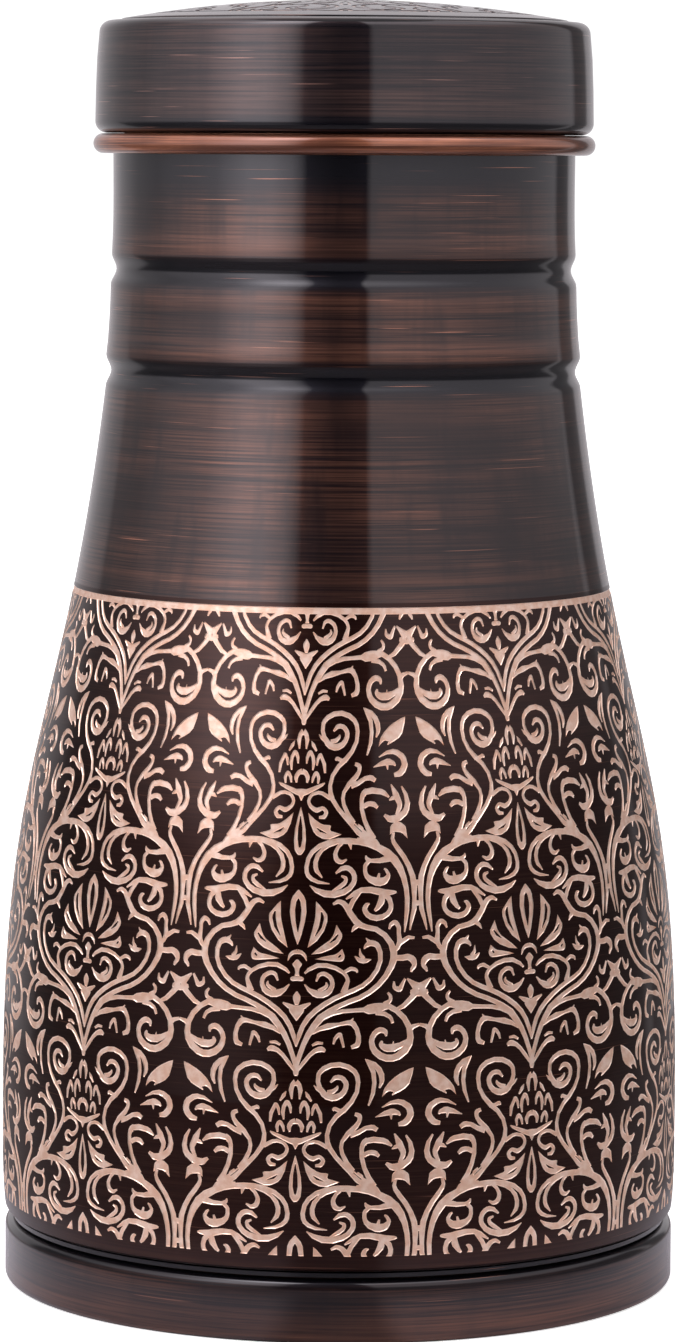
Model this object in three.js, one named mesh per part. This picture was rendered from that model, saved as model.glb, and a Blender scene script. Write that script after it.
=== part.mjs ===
// A copper water bottle: a spun jar with a flared belly, a grooved neck and a rolled rim,
// standing on a foot ring, and a domed plug lid that lifts off.
// Millimetres, +Z up, the origin at the middle of the face that it stands on.
// Every piece is a body of revolution, so each is an outline of [radius, height] points
// that is turned about the Z axis.

import * as THREE from "three";

// ---- driving dimensions ----------------------------------------------------------------

const segments = 36; // steps round every turned piece; alike, so that nested gaps stay even
const sheet = 0.65; // thickness of the copper sheet
const gap = 0.3; // left where two pieces touch: soldered, crimped or resting

// The jar
const jarHeight = 185.9; // floor to the top of the rim
const bellyRadius = 55; // widest outside radius of the jar
const bellyTop = 30; // height where the wall starts to draw in
const flare = 0.12; // how fast the belly still opens out below the neck, per millimetre
const bottomCorner = 1.2; // radius of the turned-in bottom edge

// The neck, its grooves measured down from the top of the rim
const neckRadius = 37.2; // outside radius under the rim
const neckSpread = 1.2; // how much wider the neck is at its foot
const upperGrooveDrop = 21.7; // middle of the upper groove
const lowerGrooveDrop = 38; // middle of the lower groove
const grooveHalfWidth = 2.6;
const grooveDepth = 0.85;

// The rolled rim
const wireRadius = 0.65; // the wire that stiffens the rim
const rimOverhang = 3.2; // how far the rim stands out past the neck

// The foot ring and the base plate that lies on it
const footHeight = 10;
const footInset = 0.4; // how far the foot's band lies inside the belly
const footShoulder = 1.6; // radius of its upper edge
const footEdge = 1; // radius of its lower edge
const footLip = 4; // width of the lip turned in at the bottom
const footLedge = 5.6; // width of the ledge turned in at the top
const plateInset = 1.6; // how far the plate's edge lies inside the belly
const plateRim = 5; // width of the plate's flat rim
const plateSlope = 2; // width of the slope up from the rim
const plateRise = 2.5; // how far the plate's middle is pressed up

// The lid
const lidHeight = 17.7; // from its lower edge to the top of its shoulder
const lidInset = 0.3; // how far its wall lies inside the rim
const lidTaper = 0.65; // how much narrower it is at the top
const lidEdge = 1.9; // radius of its lower edge and of its shoulder
const lidBorder = 3.25; // from its wall to the opening that the domed top fills
const lidLedge = 2.7; // width of the ledge that carries the domed top
const domeRise = 3.2; // how far the middle of the top stands above its edge

// The plug under the lid, and the silicone ring round it
const plugDepth = 18; // how far it reaches down from the top of the rim
const plugClearance = 1.1; // between the plug and the neck
const plugCorner = 1.6; // radius of its bottom edge
const sealDrop = 8; // middle of the ring, below the top of the rim
const sealHeight = 5;
const sealSeat = 1; // depth of the groove that holds the ring
const sealLip = 0.5; // how far the ring's two lips stand out

// ---- places worked out from them -------------------------------------------------------

const plateHeight = footHeight + gap; // underside of the base plate's rim
const jarBottom = plateHeight + sheet + gap;
const waistRadius = neckRadius + neckSpread; // where the belly meets the neck
const beltHeight = jarHeight - lowerGrooveDrop - grooveHalfWidth; // top of the belly
const boreRadius = neckRadius - sheet; // inside radius of the neck
const rimRadius = neckRadius + rimOverhang;
const curlRadius = wireRadius + gap; // inside radius of the rolled edge
const curlCentre = [rimRadius - sheet - curlRadius, jarHeight - sheet - curlRadius];
const footRadius = bellyRadius - footInset;
const lidBottom = jarHeight + gap;
const lidTop = lidBottom + lidHeight;
const lidRadius = rimRadius - lidInset;
const lidShoulder = lidRadius - lidTaper; // outside radius at the top of the lid's wall
const lidOpening = lidShoulder - lidBorder;
const plugRadius = boreRadius - plugClearance;
const plugBottom = jarHeight - plugDepth;
const flangeHeight = lidBottom + sheet + gap; // underside of the plug's flange
const sealMiddle = jarHeight - sealDrop;

// ---- outlines --------------------------------------------------------------------------

// Points along an arc, from one angle to the other, in degrees counted from straight out.
function arc([radius, height], size, from, to, steps) {
  return Array.from({ length: steps + 1 }, (_, step) => {
    const angle = THREE.MathUtils.degToRad(from + ((to - from) * step) / steps);
    return [radius + size * Math.cos(angle), height + size * Math.sin(angle)];
  });
}

// Points up a wall that dip inwards and out again, as a groove rolled into it does. The
// wall's radius changes evenly from below the groove to above it.
function groove(below, above, middle) {
  return [-1, -0.5, 0, 0.5, 1].map((across) => {
    const wall = (below + above) / 2 + ((above - below) / 2) * across;
    const dip = (grooveDepth / 2) * (1 + Math.cos(Math.PI * across));
    return [wall - dip, middle + across * grooveHalfWidth];
  });
}

// A step from one point of a path to the next, one millimetre long.
function direction(from, to) {
  const across = to[0] - from[0];
  const up = to[1] - from[1];
  const length = Math.hypot(across, up);
  return [across / length, up / length];
}

// The outline of a sheet: a path along one face, and its copy a thickness to the left.
function sheetOutline(path) {
  const otherFace = path.map((point, index) => {
    const before = index ? direction(path[index - 1], point) : null;
    const after = path[index + 1] ? direction(point, path[index + 1]) : before;
    const [a, b] = [before ?? after, after];
    const half = 1 + a[0] * b[0] + a[1] * b[1]; // shares the corner between both sides
    const across = (sheet * (a[1] + b[1])) / half;
    const up = (sheet * (a[0] + b[0])) / half;
    return [point[0] - across, point[1] + up];
  });
  return [...path, ...otherFace.reverse()];
}

// ---- materials -------------------------------------------------------------------------

function metal(color, roughness) {
  return new THREE.MeshStandardMaterial({ color, roughness, metalness: 1 });
}

const darkCopper = () => metal(0x3a2a26, 0.3); // antique patina under clear lacquer
const etchedCopper = () => metal(0x9a6a55, 0.45); // the same, etched through to bare copper
const bareCopper = () => metal(0xc9794f, 0.35);
const steel = () => metal(0x9a9a98, 0.4);

function silicone() {
  return new THREE.MeshStandardMaterial({ color: 0xe6e4df, roughness: 0.7 });
}

// ---- pieces ----------------------------------------------------------------------------

// The jar: a flange turned in at the bottom, the belly, the grooved neck, and a rim that is
// bent outwards and rolled round the wire.
function jarWall() {
  const cornerCentre = [bellyRadius - bottomCorner, jarBottom + bottomCorner];
  const pull = (beltHeight - bellyTop) / 2;
  const belly = new THREE.CubicBezierCurve(
    new THREE.Vector2(bellyRadius, bellyTop),
    new THREE.Vector2(bellyRadius, bellyTop + pull),
    new THREE.Vector2(waistRadius + flare * pull, beltHeight - pull),
    new THREE.Vector2(waistRadius, beltHeight),
  );
  const bandRadius = (waistRadius + neckRadius) / 2;
  const bendCentre = [neckRadius + curlRadius, curlCentre[1]];
  return sheetOutline([
    [footRadius - footLedge, jarBottom],
    ...arc(cornerCentre, bottomCorner, -90, 0, 3),
    ...belly.getPoints(9).map(({ x, y }) => [x, y]),
    ...groove(waistRadius, waistRadius, jarHeight - lowerGrooveDrop).slice(1),
    ...groove(bandRadius, neckRadius, jarHeight - upperGrooveDrop),
    ...arc(bendCentre, curlRadius, 180, 90, 3),
    ...arc(curlCentre, curlRadius, 90, -130, 8),
  ]);
}

function rimWire() {
  return arc(curlCentre, wireRadius, 0, 315, 7);
}

// The foot: a lip to stand on, an upright band, a rounded shoulder and a ledge.
function footRing() {
  return sheetOutline([
    [footRadius - footLip, 0],
    ...arc([footRadius - footEdge, footEdge], footEdge, -90, 0, 3),
    ...arc([footRadius - footShoulder, footHeight - footShoulder], footShoulder, 0, 90, 4),
    [footRadius - footLedge, footHeight],
  ]);
}

// The base plate: its rim lies between the foot's ledge and the jar's flange.
function basePlate() {
  const edge = bellyRadius - plateInset;
  return sheetOutline([
    [0, plateHeight + plateRise],
    [edge - plateRim - plateSlope, plateHeight + plateRise],
    [edge - plateRim, plateHeight],
    [edge, plateHeight],
  ]);
}

// The lid's wall: crimped in under the plug's flange, and stepped down at the top into a
// ledge for the domed top.
function lidCap() {
  return sheetOutline([
    [plugRadius + gap, lidBottom],
    ...arc([lidRadius - lidEdge, lidBottom + lidEdge], lidEdge, -90, 0, 4),
    ...arc([lidShoulder - lidEdge, lidTop - lidEdge], lidEdge, 0, 90, 4),
    [lidOpening, lidTop],
    [lidOpening, lidTop - sheet],
    [lidOpening - lidLedge, lidTop - sheet],
  ]);
}

// The domed top: a shallow cap of a sphere.
function lidTopDisc() {
  const edge = lidOpening - gap;
  const edgeHeight = lidTop - sheet + gap;
  const sphere = (edge ** 2 + domeRise ** 2) / (2 * domeRise);
  const halfAngle = THREE.MathUtils.radToDeg(Math.asin(edge / sphere));
  const centre = [0, edgeHeight + domeRise - sphere];
  const under = arc(centre, sphere, 90 - halfAngle, 90, 6).reverse();
  under[0][0] = 0; // exactly on the axis
  const over = under.map(([radius, height]) => [radius, height + sheet]);
  return [...under, ...over.reverse()];
}

// The plug: a cup with a groove for the silicone ring and a flange held by the lid's wall.
function lidPlug() {
  const seat = sealHeight / 2 + gap;
  return sheetOutline([
    [0, plugBottom],
    ...arc([plugRadius - plugCorner, plugBottom + plugCorner], plugCorner, -90, 0, 3),
    [plugRadius, sealMiddle - seat - sealSeat],
    [plugRadius - sealSeat, sealMiddle - seat],
    [plugRadius - sealSeat, sealMiddle + seat],
    [plugRadius, sealMiddle + seat + sealSeat],
    [plugRadius, flangeHeight],
    [lidRadius - lidEdge, flangeHeight],
  ]);
}

// The silicone ring: two lips with a hollow between them.
function lidSeal() {
  const inner = plugRadius - sealSeat + gap;
  const outer = boreRadius - gap;
  const half = sealHeight / 2;
  return [
    [inner, sealMiddle - half],
    [outer - sealLip, sealMiddle - half],
    [outer, sealMiddle - half / 2],
    [outer - sealLip, sealMiddle],
    [outer, sealMiddle + half / 2],
    [outer - sealLip, sealMiddle + half],
    [inner, sealMiddle + half],
  ];
}

// ---- the object ------------------------------------------------------------------------

// Turns an outline about Z into a named mesh. The outline runs anticlockwise, with radius
// to the right and height up; it starts and ends on the axis, or closes on itself.
function turned(name, outline, material) {
  const endsOnAxis = outline[0][0] === 0;
  const points = endsOnAxis ? outline : [...outline, outline[0]];
  const profile = points.map(([radius, height]) => new THREE.Vector2(radius, height));
  const geometry = new THREE.LatheGeometry(profile, segments).rotateX(Math.PI / 2);
  const mesh = new THREE.Mesh(geometry, material);
  mesh.name = name;
  return mesh;
}

const bottle = new THREE.Group();
bottle.add(
  turned("jar_wall", jarWall(), etchedCopper()),
  turned("rim_wire", rimWire(), steel()),
  turned("foot_ring", footRing(), darkCopper()),
  turned("base_plate", basePlate(), bareCopper()),
  turned("lid_cap", lidCap(), darkCopper()),
  turned("lid_top", lidTopDisc(), etchedCopper()),
  turned("lid_plug", lidPlug(), bareCopper()),
  turned("lid_seal", lidSeal(), silicone()),
);

export default bottle;
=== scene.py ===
# %% [markdown]
# # A copper water bottle
# A spun copper jar with an etched belly, a grooved neck and a rolled rim, on a foot ring,
# with a plug lid that lifts straight off.
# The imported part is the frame: its bodies `jar` and `lid` move, and every finer piece made
# here rides on one of them and stands in for the plain solid of the same piece.
# Lengths of the bottle are written in millimetres and turned into metres with `MM`.

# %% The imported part
import math

import bmesh
import bpy
import numpy as np
from mathutils import Matrix, Vector
from mathutils.geometry import delaunay_2d_cdt


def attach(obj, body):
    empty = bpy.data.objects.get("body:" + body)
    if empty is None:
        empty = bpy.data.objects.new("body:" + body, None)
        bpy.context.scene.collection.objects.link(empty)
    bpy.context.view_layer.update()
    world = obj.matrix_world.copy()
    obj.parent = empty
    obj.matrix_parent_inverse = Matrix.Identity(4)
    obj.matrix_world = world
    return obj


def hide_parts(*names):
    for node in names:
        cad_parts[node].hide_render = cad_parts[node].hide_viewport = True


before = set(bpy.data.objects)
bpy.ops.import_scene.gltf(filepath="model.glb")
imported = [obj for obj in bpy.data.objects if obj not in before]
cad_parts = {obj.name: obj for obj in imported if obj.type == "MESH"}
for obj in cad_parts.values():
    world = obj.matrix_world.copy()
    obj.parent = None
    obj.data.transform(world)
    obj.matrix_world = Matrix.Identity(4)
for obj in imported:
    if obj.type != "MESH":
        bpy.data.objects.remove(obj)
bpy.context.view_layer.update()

MM = 0.001
print("pieces in the frame:", ", ".join(sorted(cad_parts)))


# %% Small helpers for objects and node trees
def to_scene(name, data):
    """Makes an object of a mesh, lamp or camera and puts it in the scene."""
    thing = bpy.data.objects.new(name, data)
    bpy.context.scene.collection.objects.link(thing)
    return thing


def to_mesh(name, bm, *materials):
    """Makes a mesh of a bmesh, and frees the bmesh."""
    mesh = bpy.data.meshes.new(name)
    bm.to_mesh(mesh)
    bm.free()
    for material in materials:
        mesh.materials.append(material)
    return mesh


def new_material(name):
    """A material; gives it with its node tree and its Principled shader."""
    material = bpy.data.materials.new(name)
    material.use_nodes = True
    return material, material.node_tree, material.node_tree.nodes["Principled BSDF"]


def node(tree, kind, inputs=None, **settings):
    """Adds a node, placed after the last one, with its inputs linked or filled."""
    new = tree.nodes.new(kind)
    new.location = (240 * (len(tree.nodes) % 7), -280 * (len(tree.nodes) // 7))
    for name, value in settings.items():
        setattr(new, name, value)
    for name, value in (inputs or {}).items():
        feed(tree, value, new.inputs[name])
    return new


def feed(tree, value, socket):
    """Links a socket to an input, or sets the input to a value."""
    if isinstance(value, bpy.types.NodeSocket):
        tree.links.new(value, socket)
    else:
        socket.default_value = value


def calc(tree, operation, *values, clamp=False):
    """A Math node fed with sockets or numbers; gives its output socket."""
    return node(tree, "ShaderNodeMath", dict(enumerate(values)), operation=operation,
                use_clamp=clamp).outputs[0]


def between(tree, value, low, high):
    """0 up to low, 1 from high on, and a soft step between."""
    ends = {"Value": value, "From Min": low, "From Max": high}
    return node(tree, "ShaderNodeMapRange", ends,
                interpolation_type="SMOOTHSTEP").outputs["Result"]


def mix(tree, factor, first, second):
    """Mixes two colours by a factor; the colours are sockets or values."""
    first, second = (value if isinstance(value, bpy.types.NodeSocket) else (*value, 1)
                     for value in (first, second))
    return node(tree, "ShaderNodeMix", {"Factor": factor, 6: first, 7: second},
                data_type="RGBA").outputs[2]


def object_place(tree):
    """Where a point is, in metres."""
    return node(tree, "ShaderNodeTexCoord").outputs["Object"]


def parts_of(tree, place):
    """A place's X, Y and Z."""
    return node(tree, "ShaderNodeSeparateXYZ", {0: place}).outputs


def compass(tree, parts):
    """Direction from the upright axis, in radians from the camera's side."""
    return calc(tree, "ARCTAN2", parts["X"], calc(tree, "MULTIPLY", parts["Y"], -1))


# %% [markdown]
# ## Camera
# The bottle is seen from in front and a little above, with a long lens from less than a
# metre away, so its sides stay nearly upright. The camera stands just above the rim's
# height and looks down at the belly. It is put in place by its own numbers, so that it
# stays where it is when a piece changes.

# %% Camera in front of the bottle
CAMERA_DISTANCE, CAMERA_HEIGHT = 858, 185
CAMERA_ASIDE = -0.8        # a little to the left
LOOKS_DOWN = 5.72          # degrees below the horizon
LEANS = -0.33              # degrees that it is turned about its own line of sight
LENS = 142.2               # focal length on a 36 mm sensor

camera_data = bpy.data.cameras.new("camera")
camera_data.lens = LENS
camera_data.sensor_width = 36
camera_data.clip_start = 0.05
camera = to_scene("camera", camera_data)
camera.location = Vector((CAMERA_ASIDE, -CAMERA_DISTANCE, CAMERA_HEIGHT)) * MM
camera.rotation_euler = (math.radians(90 - LOOKS_DOWN), math.radians(LEANS), 0)
bpy.context.scene.camera = camera
print(f"camera: {LENS} mm lens, {CAMERA_DISTANCE} mm away, {CAMERA_HEIGHT} mm up")

# %% [markdown]
# ## Light and floor
# Lacquered metal shows the room more than its own colour, so the light is built as a room:
# a light tent, which is a tube of white cloth lit from outside, with a black slit for the
# camera. The cloth glows brightest on the left of the slit, evenly on its right, has a
# narrow open seam at the back right, and is dim near the table, so that the lower belly
# mirrors dusk. The tent is one cylinder that glows by its own direction and height;
# lamps would do too, but a soft-edged stripe down the lacquer comes out cleaner this way.
# The camera doesn't see the tent, and behind the bottle it sees plain white paper.

# %% The light tent
TENT = (                 # direction in degrees from the camera's side, brightness
    (-180, 0.62), (-158, 0.58), (-138, 0.44), (-118, 0.40), (-100, 0.52), (-90, 0.78),
    (-78, 1.00), (-62, 1.35), (-45, 2.60), (-34, 2.60), (-24, 1.75), (-20, 0.95),
    (-17.0, 0.12), (-3, 0.05), (10.6, 0.05), (11.9, 0.98), (45, 0.90), (80, 0.74),
    (122, 0.54), (126.5, 0.10), (140, 0.10), (144, 0.48), (180, 0.62),
)
BRIGHTEST = 3.0
TENT_RADIUS, TENT_HEIGHT = 0.30, 0.95      # metres, as are all lengths of tent and floor
CLOTH_BEGINS, CLOTH_FULL = 0.110, 0.185    # heights where the front cloth grows bright
LOW_CLOTH = 0.19                           # how bright it is below, against above
HIGH_BEGINS, HIGH_FULL = 0.38, 0.55        # heights where it grows brighter still
HIGH_CLOTH = 2.3                           # and by how much
BEHIND, BEHIND_FULL = 0.12, 0.17           # how far back the paper reaches the table
FOR_MATT = 0.45                            # the extra light that matt copper gets
CLOTH_COLOUR = (1.0, 0.945, 0.985, 1)

cloth, cloth_tree, *_ = new_material("glowing cloth")
cloth_tree.nodes.clear()
parts = parts_of(cloth_tree, object_place(cloth_tree))
share = calc(cloth_tree, "MULTIPLY_ADD", compass(cloth_tree, parts), 0.5 / math.pi, 0.5)
panels = node(cloth_tree, "ShaderNodeValToRGB", {"Fac": share})
stops = panels.color_ramp.elements
stops.remove(stops[-1])
for index, (direction, brightness) in enumerate(TENT):
    stop = stops[0] if index == 0 else stops.new((direction + 180) / 360)
    stop.position = (direction + 180) / 360
    stop.color = (*[brightness / BRIGHTEST] * 3, 1)
above = between(cloth_tree, parts["Z"], CLOTH_BEGINS, CLOTH_FULL)
above = calc(cloth_tree, "MULTIPLY_ADD", above, 1 - LOW_CLOTH, LOW_CLOTH)
paper_side = between(cloth_tree, parts["Y"], BEHIND, BEHIND_FULL)
lit = calc(cloth_tree, "MAXIMUM", above, paper_side)
high = between(cloth_tree, parts["Z"], HIGH_BEGINS, HIGH_FULL)
high = calc(cloth_tree, "MULTIPLY_ADD", high, HIGH_CLOTH - 1, 1)
is_matt = node(cloth_tree, "ShaderNodeLightPath").outputs["Is Diffuse Ray"]
matt = calc(cloth_tree, "MULTIPLY_ADD", is_matt, FOR_MATT, 1)
for factor in (BRIGHTEST, high, matt, panels.outputs["Color"]):
    lit = calc(cloth_tree, "MULTIPLY", lit, factor)
glow = node(cloth_tree, "ShaderNodeEmission", {"Color": CLOTH_COLOUR, "Strength": lit})
node(cloth_tree, "ShaderNodeOutputMaterial", {"Surface": glow.outputs[0]})

tent_bm = bmesh.new()
bmesh.ops.create_cone(tent_bm, segments=96, radius1=TENT_RADIUS, radius2=TENT_RADIUS,
                      depth=TENT_HEIGHT, cap_ends=False,
                      matrix=Matrix.Translation((0, 0, TENT_HEIGHT / 2)))
tent = to_scene("light tent", to_mesh("light tent", tent_bm, cloth))
tent.visible_camera = False
print(f"the tent is {2 * TENT_RADIUS} m across, {TENT_HEIGHT} m high, {len(TENT)} shades round")

# %% White paper behind, a dim ceiling above
CEILING, PAPER = 0.45, 1.1
world = bpy.data.worlds.new("white paper and ceiling")
bpy.context.scene.world = world
world.use_nodes = True
sky = world.node_tree
sky.nodes.clear()
ceiling, paper = (node(sky, "ShaderNodeBackground", {"Color": (1, 1, 1, 1), "Strength": glows})
                  for glows in (CEILING, PAPER))
seen = node(sky, "ShaderNodeLightPath").outputs["Is Camera Ray"]
chosen = node(sky, "ShaderNodeMixShader",
              {"Fac": seen, 1: ceiling.outputs[0], 2: paper.outputs[0]})
node(sky, "ShaderNodeOutputWorld", {"Surface": chosen.outputs[0]})
bpy.context.scene.view_settings.view_transform = "Standard"

# %% [markdown]
# The floor is a sheet of pale paper that glows by itself, a painted light, and with a wide
# lamp above it this glow lifts it to white; near the foot the glow is lower, so that the lamp's
# faint soft shadow shows there. In the lacquer it shows as a painted reflection, dimmer than
# it is, as a dark table in front of a tent would: lighter close to the foot, and dark in a wedge under
# the slit.

# %% The floor's two looks
GLOW_RISES_AT, GLOW_FULL_AT = 0.20, 0.55       # where the paper's painted glow begins to rise, and where it is full
GLOW_IN_SHADOW, GLOW_ADDED = 0.68, 0.40    # the paper's own painted glow near the foot, and how much more beyond
NEAR_FOOT, OFF_FOOT = 0.075, 0.125         # the painted lighter patch round the foot, seen only in the lacquer
WEDGE = ((-16, -7), (14, 7))               # soft edges of the painted dark wedge seen in the lacquer, in degrees
# what the floor shows in the lacquer: a painted reflection of a dark table
PAINTED_REFLECTION, PAINTED_REFLECTION_NEAR, PAINTED_REFLECTION_WEDGE = (0.22, 0.20, 0.20), (0.58, 0.57, 0.61), (0.20, 0.19, 0.20)

pale_paper, paper_tree, paper_surface = new_material("pale paper")
place = object_place(paper_tree)
parts = parts_of(paper_tree, place)
far_out = node(paper_tree, "ShaderNodeVectorMath", {0: place},
               operation="LENGTH").outputs["Value"]
# the paper's painted glow: lower near the foot, higher further out
shine = calc(paper_tree, "MULTIPLY_ADD", between(paper_tree, far_out, GLOW_RISES_AT, GLOW_FULL_AT),
             GLOW_ADDED, GLOW_IN_SHADOW)
for title, value in (("Base Color", (0.93, 0.93, 0.925, 1)), ("Roughness", 0.9),
                     ("Emission Color", (1, 1, 1, 1)), ("Emission Strength", shine)):
    feed(paper_tree, value, paper_surface.inputs[title])
around = compass(paper_tree, parts)
left, right = (between(paper_tree, around, math.radians(outer), math.radians(inner))
               for outer, inner in WEDGE)
# painted reflection: lighter round the foot, dark in a wedge under the slit
painted_reflection_colour = mix(paper_tree, between(paper_tree, far_out, OFF_FOOT, NEAR_FOOT), PAINTED_REFLECTION, PAINTED_REFLECTION_NEAR)
painted_reflection_colour = mix(paper_tree, calc(paper_tree, "MULTIPLY", left, right), painted_reflection_colour, PAINTED_REFLECTION_WEDGE)
painted_reflection_shader = node(paper_tree, "ShaderNodeBsdfDiffuse", {"Color": painted_reflection_colour})
in_lacquer = node(paper_tree, "ShaderNodeLightPath").outputs["Is Glossy Ray"]
either = node(paper_tree, "ShaderNodeMixShader",
              {"Fac": in_lacquer, 1: paper_surface.outputs[0], 2: painted_reflection_shader.outputs[0]})
feed(paper_tree, either.outputs[0], paper_tree.nodes["Material Output"].inputs["Surface"])

# %% Floor and the lamp above
FLOOR_SIZE = 12.0
floor_bm = bmesh.new()
bmesh.ops.create_grid(floor_bm, x_segments=1, y_segments=1, size=FLOOR_SIZE / 2)
floor = to_scene("floor", to_mesh("floor", floor_bm, pale_paper))

lamp_data = bpy.data.lights.new("lamp above", "AREA")
lamp_data.shape = "RECTANGLE"
lamp_data.size = 2.4
lamp_data.size_y = 2.4
lamp_data.energy = 22.0
lamp = to_scene("lamp above", lamp_data)
lamp.location = (0, 0, 1.6)
lamp.visible_camera = False
lamp.visible_glossy = False
print(f"floor {FLOOR_SIZE} m across, lamp {lamp_data.energy} W")

# %% [markdown]
# ## Finishes
# The copper is darkened to a black-brown patina, brushed while it turns on the lathe, and
# lacquered. The brush lines run round the piece, so the patina is thinner in fine level
# lines and copper-brown shows through. A noise that is stretched round the bottle makes
# such lines. It reads Object coordinates, and because every piece's object sits at the
# bottle's own origin, the lines of neighbouring pieces agree.
# Effects that several finishes share are node groups with named inputs.

# %% Node groups: a blank group with named sockets
FLOAT = "NodeSocketFloat"


def blank_group(name, inputs, outputs):
    """A shader group; inputs are {name: value}. Gives it, its inputs and its result."""
    group = bpy.data.node_groups.new(name, "ShaderNodeTree")
    for title, value in inputs.items():
        socket = group.interface.new_socket(title, in_out="INPUT", socket_type=FLOAT)
        socket.default_value = value
    for title in outputs:
        group.interface.new_socket(title, in_out="OUTPUT", socket_type=FLOAT)
    return group, node(group, "NodeGroupInput").outputs, node(group, "NodeGroupOutput").inputs


def stretched_noise(tree, place, round_scale, up_scale, detail, roughness=0.6):
    """Noise with one scale round the bottle and another up it, in cells per metre."""
    stretch = node(tree, "ShaderNodeMapping",
                   {"Scale": (round_scale, round_scale, up_scale), "Vector": place})
    return noise(tree, stretch.outputs[0], 1, detail, roughness)


def noise(tree, place, scale, detail, roughness=0.5):
    return node(tree, "ShaderNodeTexNoise", {"Vector": place, "Scale": scale, "Detail": detail,
                                             "Roughness": roughness}).outputs["Fac"]


# %% Brush lines: thin level streaks, gathered in bands, with upright smudges between
def make_brush_lines():
    group, given, result = blank_group(
        "brush lines", {"Amount": 0.5, "Smudges": 0.5, "Scratches": 0.5},
        ["Copper shows", "Scratch", "Lines"])
    place = object_place(group)
    fine = stretched_noise(group, place, 34, 3600, 3)
    wide = stretched_noise(group, place, 16, 1300, 4, 0.75)
    bands = stretched_noise(group, place, 26, 80, 2)
    smudge = stretched_noise(group, place, 210, 24, 3)
    thin = stretched_noise(group, place, 48, 3800, 1)
    lines = calc(group, "MULTIPLY_ADD", fine, 0.58, calc(group, "MULTIPLY", wide, 0.42))
    patches = between(group, bands, 0.22, 0.70)
    dulled = calc(group, "MULTIPLY", between(group, smudge, 0.42, 0.70), given["Smudges"])
    kept = calc(group, "SUBTRACT", 1, dulled, clamp=True)
    shows = calc(group, "MULTIPLY", between(group, lines, 0.39, 0.62), patches)
    shows = calc(group, "MULTIPLY", shows, kept)
    shows = calc(group, "MULTIPLY", shows, given["Amount"], clamp=True)
    scratch = calc(group, "MULTIPLY", between(group, thin, 0.70, 0.80), patches)
    scratch = calc(group, "MULTIPLY", scratch, given["Scratches"], clamp=True)
    feed(group, shows, result["Copper shows"])
    feed(group, scratch, result["Scratch"])
    feed(group, lines, result["Lines"])
    return group


brush_lines = make_brush_lines()
print("group:", brush_lines.name)


# %% Mottling: what the acid leaves on the etched copper
FINER = 3.1          # how many times finer the grain is than the blotches


def make_mottling():
    group, given, result = blank_group("mottling", {"Size": 900}, ["Mottle", "Grain"])
    place = object_place(group)
    blotch = noise(group, place, given["Size"], 3)
    grain = noise(group, place, calc(group, "MULTIPLY", given["Size"], FINER), 2)
    feed(group, between(group, blotch, 0.3, 0.72), result["Mottle"])
    feed(group, grain, result["Grain"])
    return group


mottling = make_mottling()
print("group:", mottling.name)


# %% Two effects of height: a shoulder rubs bright, a groove keeps its patina
def steps_away(group, given):
    """Distance from a height, as a share of the effect's reach; and the place itself."""
    place = object_place(group)
    above = calc(group, "SUBTRACT", parts_of(group, place)["Z"], given["Height"])
    return calc(group, "DIVIDE", calc(group, "ABSOLUTE", above), given["Reach"]), place


def make_rubbed_edge():
    """The patina wears through, in broken lines, where a shoulder stands out."""
    group, given, result = blank_group(
        "rubbed edge", {"Height": 0.1, "Reach": 0.002, "Strength": 0.5}, ["Worn"])
    away, place = steps_away(group, given)
    broken = between(group, stretched_noise(group, place, 30, 1500, 3), 0.25, 0.70)
    worn = calc(group, "MULTIPLY", between(group, away, 1, 0), broken)
    feed(group, calc(group, "MULTIPLY", worn, given["Strength"]), result["Worn"])
    return group


def make_kept_dark():
    """In a groove the brush never reaches, so the patina stays whole and blue-black."""
    group, given, result = blank_group("kept dark", {"Height": 0.1, "Reach": 0.002}, ["Open"])
    feed(group, between(group, steps_away(group, given)[0], 0.40, 1), result["Open"])
    return group


rubbed_edge = make_rubbed_edge()
kept_dark = make_kept_dark()
print("groups:", rubbed_edge.name, "and", kept_dark.name)


# %% [markdown]
# ### Dark lacquered copper
# The shader is a metal with a clear coat. The coat is smooth and mirrors the panels with
# crisp edges, and the metal under it is rougher and glows dully. The lines also tilt the
# surface a very little, which frays the mirrored edges level by level, as on the real
# brushed copper.

# %% The dark patina, in one function because neck, lid and foot differ only in wear
KEPT_PATINA = (0.0105, 0.0100, 0.0150)
LINE_HEIGHT = 0.000014           # how high the brush lines stand, in metres
SCRATCH_BRIGHTNESS = 2.6         # against the brushed copper's


def placed(tree, group, **values):
    """Places a node group with its inputs filled; gives its outputs."""
    return node(tree, "ShaderNodeGroup", values, node_tree=group).outputs


def bump(tree, height, distance):
    return node(tree, "ShaderNodeBump", {"Height": height, "Distance": distance}).outputs[0]


def set_surface(surface, **values):
    """Sets numbers on the shader's own sockets."""
    for name, value in values.items():
        surface.inputs[name.replace("_", " ")].default_value = value


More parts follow.
